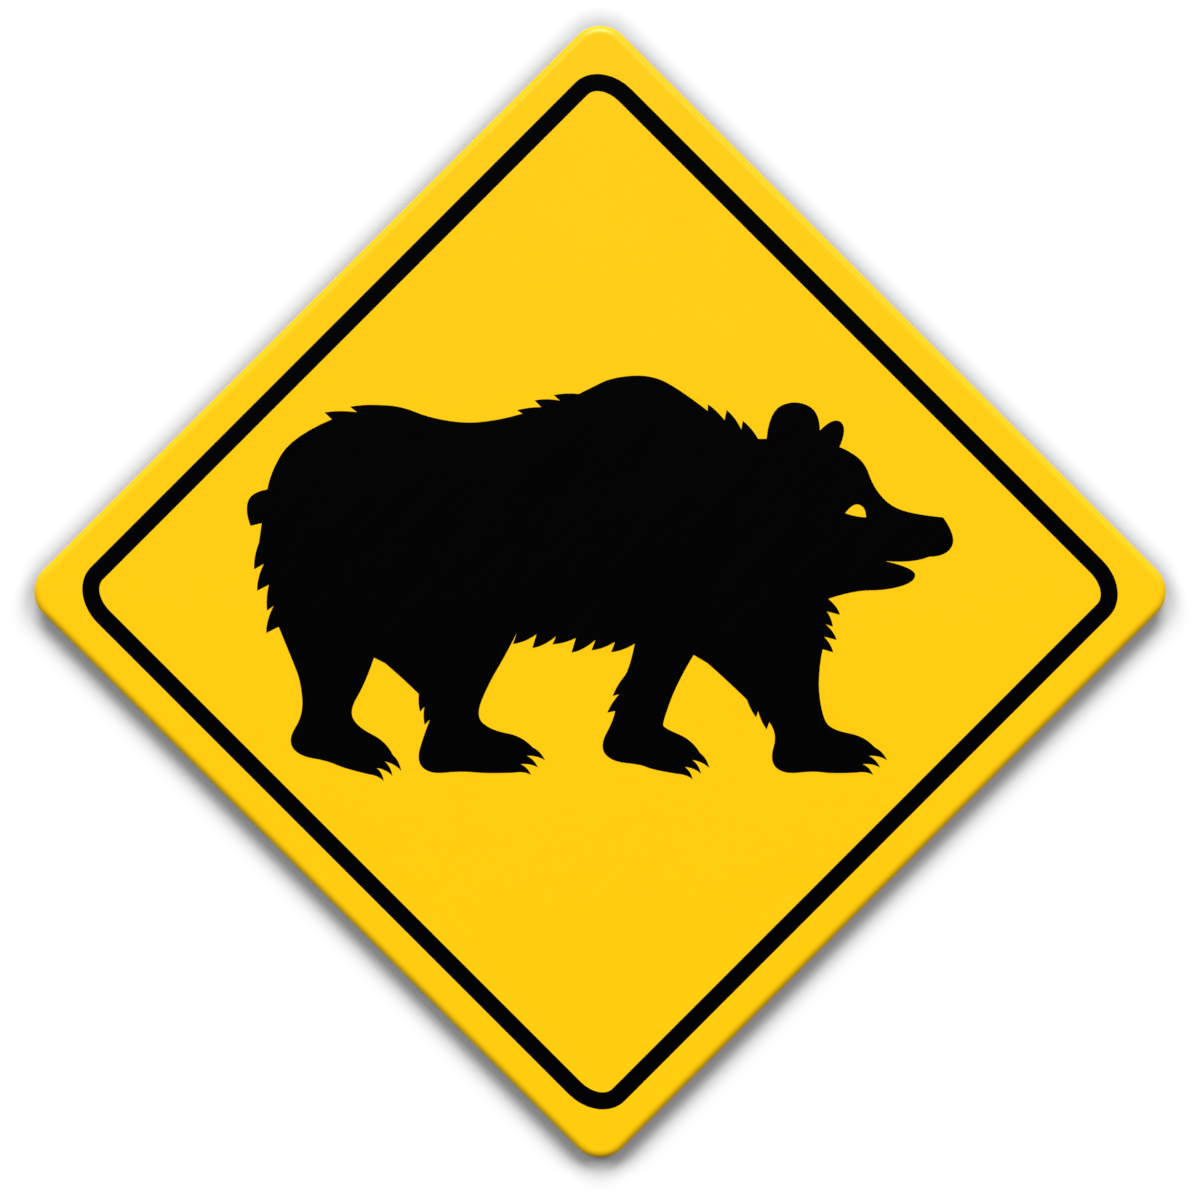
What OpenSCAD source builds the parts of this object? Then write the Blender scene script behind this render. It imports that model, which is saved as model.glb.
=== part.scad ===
// Novelty crossing sign: one diamond-shaped aluminium plate with a printed face.
// The flat back lies on the plane y = 0, the printed face looks along -Y and +Z is up.
// The origin is the centre of the back face.

/* [Plate] */
// Side of the square plate, which is hung by its corner
plate_side = 304.8; // [200:0.1:450]
// Thickness of the aluminium
plate_t = 2.03; // [1.9:0.01:4]
// Radius of the plate's four corners
plate_corner_r = 11.5; // [5:0.1:30]

/* [Edges] */
// How far in from the side the front face starts to fall away
edge_run = 3; // [1:0.1:3.1]
// Radius of the arc by which it falls back to the side
edge_arc_r = 3.75; // [3.5:0.05:8]
// Chamfer where the back edge is deburred
edge_break = 0.3; // [0.1:0.05:0.4]

/* [Border line] */
// Yellow margin from the plate's side to the line
border_margin = 12; // [6:0.1:25]
// Width of the line
border_line_w = 6.4; // [3:0.1:12]
// Reach of the line's outer corners along the two rising sides
border_corner_rise = 12.9; // [6:0.1:30]
// Reach of the line's outer corners along the two falling sides
border_corner_fall = 16.5; // [6:0.1:30]

/* [Print] */
// Thickness of the black print on the face
print_t = 0.1; // [0.05:0.01:0.3]
// Least gap between the bear and the border line
figure_gap = 12; // [2:0.5:30]
// Height of the bear's drawing centre above the sign's centre
figure_lift = 5; // [-10:0.5:15]

/* [Hidden] */

sign_yellow = [1, 0.81, 0.08];
print_black = [0.02, 0.02, 0.02];

// Outer and inner fields of the border line
line_outer = plate_side - 2 * border_margin;
line_inner = line_outer - 2 * border_line_w;
tightest_corner = 0.5;
inner_corner_rise = max(tightest_corner, border_corner_rise - border_line_w);
inner_corner_fall = max(tightest_corner, border_corner_fall - border_line_w);

// The bear is drawn on a grid of its own, about as fine as a millimetre, and is scaled to the field later.
// Each anchor pulls the outline towards itself, and an anchor with a third value is a sharp point.
arc_steps = 6;

function sharp(p) = [p[0], p[1], 1];
function is_sharp(p) = len(p) == 3;
function flat(p) = [p[0], p[1]];

// Tufts of fur along the chord from a to b, no two neighbours alike.
// Lean is where each tip lies along its own tuft.
// Over 0.5 the fur points on along the outline, and under 0.5 it points back.
function tufts(a, b, n, depth, lean) =
    let (step = (b - a) / n, out = [step[1], -step[0]] / norm(step))
    [
        for (i = [0 : n - 1])
            let (
                long = depth * (0.85 + 0.25 * sin(140 * i)),
                root = a + step * i,
                tip = root + step * lean + out * long,
                far = lean > 0.5 ? root : root + step,
                swell = (far + tip) / 2 + out * long * 0.3
            )
            each (lean > 0.5 ? [sharp(root), swell, sharp(tip)] : [sharp(root), sharp(tip), swell]),
        sharp(b)
    ];

// Claw that hooks forward and down, from its lower root out to its tip and towards its upper root
function hook(low, tip, high, bend = [0.6, 1]) = [
    sharp(low),
    (low + tip) / 2 + bend,
    sharp(tip),
    (tip + high) / 2 + bend
];

// Anchors turned about a pivot, those of sharp points kept sharp
function turned(anchors, pivot, angle) = [
    for (p = anchors)
        let (
            d = flat(p) - pivot,
            q = pivot + [d[0] * cos(angle) - d[1] * sin(angle), d[0] * sin(angle) + d[1] * cos(angle)]
        )
        is_sharp(p) ? sharp(q) : q
];

// Sole, claws and instep of a paw, from its heel forward and up, rolled forward onto its toes by an angle
function paw(heel, toe, roll = 0, ground = -74, claw = 5) =
    let (
        roots = [for (i = [0 : 3]) [toe - 5 + 2.2 * i, ground + 3 * i]],
        tips = [for (i = [0 : 2]) [toe + claw * (0.2 + 0.5 * i), ground - 0.8 + 2.6 * i]]
    )
    turned(
        concat(
            [[heel - 1, ground + 14], [heel - 4, ground + 4], [heel + 1, ground - 0.6]],
            [[heel + 12, ground + 0.6], [toe - 14, ground - 0.4]],
            [for (i = [0 : 2]) each hook(roots[i], tips[i], roots[i + 1])],
            [sharp(roots[3]), [toe - 2, ground + 13], [toe - 13, ground + 15]]
        ),
        [toe - 7, ground],
        -roll
    );

// Bear that walks to the right, from its lip over its back, down and along its feet
function bear() = concat(
    // Muzzle, nose and brow
    [
        [105, 1.5, 1], [115, 0.5], [121, 3, 1], [127, 3], [131, 10], [126, 17, 1], [116, 18], [107, 21],
        [101, 28], [98, 37], [90, 42]
    ],
    // Far ear and near ear
    [[89, 42, 1], [92, 49], [87, 53], [82, 48, 1], [82, 55], [73, 59], [64, 55], [63, 45, 1]],
    // Neck and hump
    tufts([60, 45], [42, 55], 3, 3.5, 1.15),
    [[33, 62], [22, 68], [8, 67], [0, 63]],
    // Withers, back and croup
    tufts([-4, 61], [-24, 54], 3, 3, 1.2),
    [[-38, 50], [-56, 52], [-68, 57]],
    tufts([-74, 57], [-92, 52], 2, 3, 1.2),
    // Rump and tail
    [[-106, 46], [-114, 33]],
    [[-115, 27, 1], [-121, 26], [-123, 19], [-121, 14, 1], [-117, 15, 1]],
    // Hind leg that pushes off
    tufts([-118, 8], [-111, -22], 4, 4.5, 1.15),
    [[-106, -34], [-103, -42]],
    paw(-106, -74, 16),
    [[-86, -52], [-80, -42], [-77, -33, 1], [-73, -35, 1]],
    // Hind leg that steps forward
    [[-66, -41]],
    tufts([-61, -46], [-57, -55], 2, 2.5, 1.2),
    paw(-58, -22),
    [[-41, -54], [-36, -42], [-30, -32]],
    // Belly
    tufts([-26, -24], [16, -28], 6, 5, -0.15),
    // Foreleg that pushes off
    [[14, -38]],
    tufts([12, -40], [9, -52], 2, 2.5, 1.2),
    paw(6, 36, 12),
    [[26, -56], [31, -42], [37, -32, 1], [42, -35, 1]],
    // Foreleg that steps forward
    [[51, -43]],
    tufts([56, -48], [64, -56], 2, 2.5, 1.2),
    paw(68, 100),
    [[83, -55], [81, -40]],
    // Chest, jaw and chin
    tufts([83, -30], [85, -12], 4, 4.5, -0.15),
    [[94, -9], [106, -9], [116, -6], [116, -1]]
);

// Eye, left open in the bear's head
function eye() = [[91, 18.5, 1], [94, 22.5], [98.5, 20.5], [98.5, 17, 1], [94.5, 17.2]];

// Points of the closed outline: a parabola round each soft anchor and a corner at each sharp one
function outline(anchors) =
    let (n = len(anchors))
    [
        for (i = [0 : n - 1])
            let (
                before = anchors[(i + n - 1) % n],
                here = anchors[i],
                after = anchors[(i + 1) % n],
                start = is_sharp(before) ? flat(before) : (flat(before) + flat(here)) / 2,
                finish = is_sharp(after) ? flat(after) : (flat(here) + flat(after)) / 2
            )
            each (is_sharp(here)
                ? [flat(here)]
                : [
                    for (k = [(is_sharp(before) ? 1 : 0) : arc_steps - 1])
                        let (t = k / arc_steps)
                        start * pow(1 - t, 2) + flat(here) * 2 * t * (1 - t) + finish * pow(t, 2)
                ])
    ];

bear_points = outline(bear());
eye_points = outline(eye());
bear_x = [for (p = bear_points) p[0]];
bear_y = [for (p = bear_points) p[1]];
bear_centre = [(max(bear_x) + min(bear_x)) / 2, (max(bear_y) + min(bear_y)) / 2];

// The bear is scaled up until its outermost point just keeps its gap from the border line.
// Field reach is half the diagonal of the diamond that it may fill.
field_reach = (line_inner / 2 - figure_gap) * sqrt(2);
figure_scale = min([
    for (p = bear_points, up = [-1, 1])
        let (q = p - bear_centre, reach = abs(q[0]) + up * q[1])
        if (reach > 0) (field_reach - up * figure_lift) / reach
]);

// Turns a face drawn flat, with its front up, to stand upright and look along -Y
module upright() {
    rotate([90, 0, 0]) children();
}

// Turns a square drawn along its sides to stand on its corner
module on_corner() {
    rotate([0, 0, 45]) children();
}

// Repeats its children at the four quarter turns
module quarters() {
    for (i = [0 : 3]) rotate([0, 0, 90 * i]) children();
}

// Section of the plate from inside to its side, with the front edge rolled over and the back edge broken.
// The chamfer leaves at least half of the straight side that the roll leaves, in whole hundredths.
module edge_section() {
    arc_z = plate_t - edge_arc_r;
    straight = arc_z + sqrt(pow(edge_arc_r, 2) - pow(edge_run, 2));
    chamfer = min(edge_break, floor(50 * straight) / 100);
    difference() {
        union() {
            square([plate_corner_r - edge_run, plate_t]);
            if (arc_z > 0) square([plate_corner_r, arc_z]);
            intersection() {
                square([plate_corner_r, plate_t]);
                translate([plate_corner_r - edge_run, arc_z]) circle(r = edge_arc_r, $fn = 180);
            }
        }
        translate([plate_corner_r - chamfer, 0]) polygon([[0, 0], [chamfer, 0], [chamfer, chamfer]]);
    }
}

module plate_corner() {
    inset = plate_side / 2 - plate_corner_r;
    translate([inset, inset, 0]) rotate_extrude(angle = 90, $fn = 180) edge_section();
}

module plate_edge() {
    inset = plate_side / 2 - plate_corner_r;
    translate([inset, inset, 0]) rotate([90, 0, 0]) linear_extrude(2 * inset) edge_section();
}

module sign_plate() {
    core = plate_side - 2 * plate_corner_r;
    color(sign_yellow) upright() on_corner() {
        translate([-core / 2, -core / 2, 0]) cube([core, core, plate_t]);
        quarters() {
            plate_corner();
            plate_edge();
        }
    }
}

// Square field with elliptic corners
module field(side, rise, fall) {
    square([side, side - 2 * fall], center = true);
    square([side - 2 * rise, side], center = true);
    for (x = [-1, 1], y = [-1, 1])
        translate([x * (side / 2 - rise), y * (side / 2 - fall)])
            scale([rise, fall]) circle(r = 1, $fn = 96);
}

module border_print() {
    color(print_black) upright() translate([0, 0, plate_t]) on_corner() linear_extrude(print_t)
        difference() {
            field(line_outer, border_corner_rise, border_corner_fall);
            field(line_inner, inner_corner_rise, inner_corner_fall);
        }
}

module figure_print() {
    color(print_black) upright() translate([0, figure_lift, plate_t]) linear_extrude(print_t)
        scale(figure_scale) translate(-bear_centre) difference() {
            polygon(bear_points);
            polygon(eye_points);
        }
}

sign_plate();
border_print();
figure_print();
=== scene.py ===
"""Novelty crossing sign: materials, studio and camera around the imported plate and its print."""

import math

import bpy
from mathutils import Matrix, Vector

MM = 0.001
PLATE_SIDE = 304.8 * MM
PLATE_THICKNESS = 2.03 * MM
CORNER_RADIUS = 11.5 * MM

# The photograph's frame: how wide it is at the face, and how far its centre lies below the sign's.
FRAME_WIDTH = 446.4 * MM
FRAME_DROP = 3.11 * MM
LENS, SENSOR = 100, 36

WALL_GAP, WALL_HALF, WALL_TOP = 7.4 * MM, 1.0, 1.0
FLOOR_HALF, FLOOR_Z = 1.6, -0.27
# The shade painted into the wall's colour round the sign, standing in for its soft shadow: how far in and out of
# the rim it runs, how high it sits and how dark it is.
SHADE_IN, SHADE_OUT, SHADE_RISE = 5.3 * MM, 9.0 * MM, 1.6 * MM
WALL_SHADED, WALL_WHITE = 0.49, 0.95

# The keys' angle from straight before the face, the side keys' turn from the top, and the angle that each fills.
KEY_POLAR, KEY_TURN, KEY_ANGLE = 47.6, 53.5, 28.6
KEY_MIDDLE_STRENGTH, KEY_SIDE_STRENGTH = 2.11, 1.27

# Directions in the plate's plane: how the sheet was rolled and printed, and how its back was scratched.
ROLLED, SCRATCHED_STEEP, SCRATCHED_FLAT = 45, 57, -20
COAT_FRINGE = 1.6 * MM
PEEL_DEPTH, TOOTH_DEPTH = 0.008 * MM, 0.004 * MM

YELLOWS = (1.0, 0.584, 0.0012, 1), (1.0, 0.598, 0.0020, 1)
METAL_DULL, METAL_BRIGHT = (0.44, 0.45, 0.465, 1), (0.75, 0.755, 0.76, 1)
METAL_HANDLED, METAL_SCRATCHED = (0.43, 0.435, 0.44, 1), (0.90, 0.905, 0.91, 1)
BLACKS = (0.0003, 0.0003, 0.0003, 1), (0.0009, 0.0009, 0.0009, 1)

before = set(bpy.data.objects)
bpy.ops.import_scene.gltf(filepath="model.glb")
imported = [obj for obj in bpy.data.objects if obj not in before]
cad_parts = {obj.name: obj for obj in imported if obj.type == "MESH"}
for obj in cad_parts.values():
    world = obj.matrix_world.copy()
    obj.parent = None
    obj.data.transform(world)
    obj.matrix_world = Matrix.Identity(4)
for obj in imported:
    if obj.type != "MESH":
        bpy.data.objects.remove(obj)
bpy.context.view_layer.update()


class Graph:
    """A material's or the world's node tree, with one call for each node."""

    def __init__(self, owner):
        owner.use_nodes = True
        self.tree = owner.node_tree
        self.tree.nodes.clear()

    def add(self, kind, inputs=None, **settings):
        node = self.tree.nodes.new("ShaderNode" + kind)
        for name, value in settings.items():
            setattr(node, name, value)
        for key, value in (inputs or {}).items():
            socket = node.inputs[key]
            if isinstance(value, bpy.types.NodeSocket):
                self.tree.links.new(value, socket)
            else:
                socket.default_value = value
        return node

    def math(self, operation, a, b=0.0):
        return self.add("Math", {0: a, 1: b}, operation=operation).outputs[0]

    def vector(self, operation, a, b=(0, 0, 0)):
        return self.add("VectorMath", {0: a, 1: b}, operation=operation).outputs[0]

    def ramp(self, value, low, high, to_low=0.0, to_high=1.0, smooth=False):
        """value between low and high, brought to between to_low and to_high, and held there outside."""
        return self.add(
            "MapRange",
            {"Value": value, "From Min": low, "From Max": high, "To Min": to_low, "To Max": to_high},
            interpolation_type="SMOOTHSTEP" if smooth else "LINEAR",
        ).outputs[0]

    def mix(self, share, a, b):
        """The colour a, and b where share is 1."""
        return self.add("Mix", {0: share, 6: a, 7: b}, data_type="RGBA").outputs[2]

    def blend(self, share, a, b):
        """The number a, and b where share is 1."""
        return self.add("Mix", {0: share, 2: a, 3: b}).outputs[0]

    def noise(self, place, scale, detail=2.0, roughness=0.5):
        return self.add(
            "TexNoise", {"Vector": place, "Scale": scale, "Detail": detail, "Roughness": roughness}
        ).outputs[0]

    def turned(self, place, angle, scale=(1, 1, 1)):
        """place scaled, which may drop its depth, and then turned in the plate's plane."""
        inputs = {"Vector": place, "Rotation": (0, math.radians(angle), 0), "Scale": scale}
        return self.add("Mapping", inputs).outputs[0]

    def streaks(self, place, angle, along, across, detail, roughness=0.6):
        """Noise in streaks at an angle in the plate's plane: so many to the metre along them and across them."""
        stretched = self.vector("MULTIPLY", self.turned(place, angle), (along, along, across))
        return self.noise(stretched, 1.0, detail, roughness)

    def bump(self, height, depth):
        return self.add("Bump", {"Height": height, "Distance": depth}).outputs[0]

    def inward(self, place):
        """Distance in from the plate's rim, in the plate's plane and as far as the corner radius."""
        core = PLATE_SIDE / 2 - CORNER_RADIUS
        along_sides = self.turned(place, 45, scale=(1, 0, 1))
        beyond = self.vector("SUBTRACT", self.vector("ABSOLUTE", along_sides), (core, core, core))
        out = self.add("VectorMath", {0: self.vector("MAXIMUM", beyond)}, operation="LENGTH").outputs["Value"]
        return self.math("SUBTRACT", CORNER_RADIUS, out)

    def output(self, shader, kind="OutputMaterial"):
        self.tree.links.new(shader, self.add(kind).inputs["Surface"])


def new_material(name):
    material = bpy.data.materials.new(name)
    return material, Graph(material)


def coated_plate():
    """Satin yellow coat on the face and edges, and bare mill-finish aluminium behind."""
    material, g = new_material("coated_aluminium")
    coordinates = g.add("TexCoord")
    place = coordinates.outputs["Object"]

    # The back is bare but for the coat's soft fringe, which wraps a little way round the rim.
    facing = g.add("SeparateXYZ", {0: coordinates.outputs["Normal"]}).outputs["Y"]
    fringe = g.math("MULTIPLY", g.noise(place, 420, detail=3, roughness=0.6), COAT_FRINGE)
    past_fringe = g.ramp(g.math("SUBTRACT", g.inward(place), fringe), 0.1 * MM, 0.7 * MM, smooth=True)
    bare = g.math("MULTIPLY", g.ramp(facing, 0.4, 0.6), past_fringe)

    # The sheet's rolling grain and bands run along one side, and the scratches in two directions of their own.
    grain = g.streaks(place, ROLLED, along=4, across=520, detail=5)
    bands = g.streaks(place, ROLLED, along=0.8, across=46, detail=3)
    sheen = g.ramp(g.math("ADD", grain, bands), 0.8, 1.2)
    handled = g.ramp(g.noise(place, 17, detail=5, roughness=0.65), 0.47, 0.66, smooth=True)
    steep = g.streaks(place, SCRATCHED_STEEP, along=7, across=330, detail=2, roughness=0.5)
    flat = g.streaks(place, SCRATCHED_FLAT, along=9, across=410, detail=2, roughness=0.5)
    scratch = g.math("MAXIMUM", g.ramp(steep, 0.66, 0.70), g.ramp(flat, 0.69, 0.73))
    metal = g.mix(sheen, METAL_DULL, METAL_BRIGHT)
    metal = g.mix(g.math("MULTIPLY", handled, 0.5), metal, METAL_HANDLED)
    metal = g.mix(g.math("MULTIPLY", scratch, 0.6), metal, METAL_SCRATCHED)
    worn = g.math("MULTIPLY", handled, 0.08)
    metal_roughness = g.math("ADD", g.ramp(sheen, 0.0, 1.0, to_low=0.36, to_high=0.26), worn)
    metal_height = g.math("ADD", grain, g.math("MULTIPLY", scratch, -0.8))

    yellow = g.mix(g.noise(place, 26, detail=3), *YELLOWS)
    coat_roughness = g.ramp(g.noise(place, 900, detail=3), 0.3, 0.7, to_low=0.33, to_high=0.40)
    peel = g.noise(place, 420, detail=2, roughness=0.45)

    bsdf = g.add(
        "BsdfPrincipled",
        {
            "Base Color": g.mix(bare, yellow, metal),
            "Metallic": bare,
            "Roughness": g.blend(bare, coat_roughness, metal_roughness),
            "Normal": g.bump(g.blend(bare, peel, metal_height), PEEL_DEPTH),
        },
    )
    g.output(bsdf.outputs[0])
    return material


def black_ink():
    """Matte black print with the fine tooth of a rolled film."""
    material, g = new_material("black_ink")
    place = g.add("TexCoord").outputs["Object"]
    tooth = g.noise(place, 1500, detail=3, roughness=0.6)
    lay = g.streaks(place, ROLLED, along=14, across=160, detail=3)
    bsdf = g.add(
        "BsdfPrincipled",
        {
            "Base Color": g.mix(lay, *BLACKS),
            "Roughness": g.ramp(tooth, 0.3, 0.7, to_low=0.46, to_high=0.58),
            "Specular IOR Level": 0.03,
            "Normal": g.bump(tooth, TOOTH_DEPTH),
        },
    )
    g.output(bsdf.outputs[0])
    return material


def dress(node, material):
    """Gives a CAD node its material, in every slot that it has."""
    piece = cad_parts[node]
    if not piece.material_slots:
        piece.data.materials.append(material)
    for place in piece.material_slots:
        place.material = material


def stage_sheet(name, corners, material):
    mesh = bpy.data.meshes.new(name)
    mesh.from_pydata(corners, [], [range(len(corners))])
    mesh.materials.append(material)
    sheet = bpy.data.objects.new(name, mesh)
    bpy.context.scene.collection.objects.link(sheet)
    return sheet


def add_stage():
    """White wall close behind the sign, with a soft shade painted into its colour round the sign's outline, for
    what is seen and lit from the front alone, and a white floor.
    """
    material, g = new_material("stage_white_painted_shade")
    ray = g.add("LightPath").outputs
    # The wall's colour is darkened in a soft band round the sign's outline, set a little higher than the sign: a
    # painted shade, on top of the shadow the lamps cast.
    place = g.vector("SUBTRACT", g.add("TexCoord").outputs["Object"], (0, 0, SHADE_RISE))
    white = g.ramp(g.inward(place), SHADE_IN, -SHADE_OUT, WALL_SHADED, WALL_WHITE, smooth=True)
    # Bounced light finds the wall black, so that the gap behind the sign and its lower edges stay dark.
    white = g.math("MULTIPLY", white, ray["Is Camera Ray"])
    white = g.add("CombineColor", {0: white, 1: white, 2: white}).outputs[0]
    white = g.add("BsdfDiffuse", {"Color": white}).outputs[0]
    clear = g.add("BsdfTransparent").outputs[0]
    solid = g.math("MAXIMUM", ray["Is Camera Ray"], g.math("MINIMUM", ray["Diffuse Depth"], 1.0))
    front = g.math("SUBTRACT", 1.0, g.add("NewGeometry").outputs["Backfacing"])
    g.output(g.add("MixShader", {0: g.math("MULTIPLY", solid, front), 1: clear, 2: white}).outputs[0])

    w, f = WALL_HALF, FLOOR_HALF
    wall_corners = [(-w, FLOOR_Z), (w, FLOOR_Z), (w, WALL_TOP), (-w, WALL_TOP)]
    stage_sheet("backdrop", [(x, WALL_GAP, z) for x, z in wall_corners], material)
    floor = stage_sheet("floor", [(x, y, FLOOR_Z) for x, y in ((-f, -f), (f, -f), (f, f), (-f, f))], material)
    # Its bounce would light the face unevenly from below, and the studio's even fill stands for it.
    floor.visible_diffuse = floor.visible_glossy = floor.visible_transmission = floor.visible_shadow = False


def add_sun(name, polar, azimuth, strength, angle, glossy=True):
    """A distant soft lamp: polar is its angle from straight before the face, azimuth from the top to the right."""
    p, a = math.radians(polar), math.radians(azimuth)
    towards = Vector((math.sin(p) * math.sin(a), -math.cos(p), math.sin(p) * math.cos(a)))
    data = bpy.data.lights.new(name, "SUN")
    data.energy, data.angle = strength, math.radians(angle)
    lamp = bpy.data.objects.new(name, data)
    lamp.rotation_euler = towards.to_track_quat("Z", "Y").to_euler()
    lamp.visible_glossy = glossy
    bpy.context.scene.collection.objects.link(lamp)


def add_lights():
    """Soft keys from above the face, a softer lamp behind, and a pale studio that is dark before the face."""
    add_sun("key_middle", KEY_POLAR, 0, KEY_MIDDLE_STRENGTH, KEY_ANGLE)
    # The side keys face the rolled edges, which would shine, so they light the coat without a highlight.
    for name, azimuth in (("key_left", -KEY_TURN), ("key_right", KEY_TURN)):
        add_sun(name, KEY_POLAR, azimuth, KEY_SIDE_STRENGTH, KEY_ANGLE, glossy=False)
    add_sun("back_light", polar=138, azimuth=-28, strength=1.4, angle=40)

    world = bpy.data.worlds.new("studio")
    bpy.context.scene.world = world
    world.cycles.sampling_method = "NONE"
    g = Graph(world)
    # Y runs from -1 straight before the face to 1 straight behind it, and Z from -1 to 1 upwards.
    towards = g.add("SeparateXYZ", {0: g.add("TexCoord").outputs["Generated"]}).outputs
    room = g.ramp(towards["Y"], -0.97, -0.75, 0.01, 1.0, smooth=True)
    before = g.math("MULTIPLY", room, g.ramp(towards["Z"], -0.11, 0.67, 0.03, 0.22, smooth=True))
    behind = g.ramp(towards["Z"], -0.55, 0.35, 0.35, 1.35, smooth=True)
    rear = g.ramp(towards["Y"], 0.0, 0.3, smooth=True)
    # The camera sees white all round, and the bare metal mirrors it in the rear half.
    ray = g.add("LightPath").outputs
    mirrored = g.math("MULTIPLY", g.math("MAXIMUM", ray["Is Glossy Ray"], ray["Is Transmission Ray"]), rear)
    white = g.math("MAXIMUM", ray["Is Camera Ray"], mirrored)
    strength = g.blend(white, g.blend(rear, before, behind), 1.0)
    g.output(g.add("Background", {"Color": (1, 1, 1, 1), "Strength": strength}).outputs[0], "OutputWorld")


def add_camera():
    """The photograph's view: square on, and as far off as its framing asks of the lens."""
    data = bpy.data.cameras.new("camera")
    data.lens, data.sensor_width = LENS, SENSOR
    camera = bpy.data.objects.new("camera", data)
    camera.location = (0, -PLATE_THICKNESS - FRAME_WIDTH * LENS / SENSOR, -FRAME_DROP)
    camera.rotation_euler = (math.radians(90), 0, 0)
    bpy.context.scene.collection.objects.link(camera)
    bpy.context.scene.camera = camera


add_camera()
ink = black_ink()
dress("sign_plate", coated_plate())
dress("border_print", ink)
dress("figure_print", ink)
add_stage()
add_lights()
bpy.context.scene.view_settings.view_transform = "Standard"
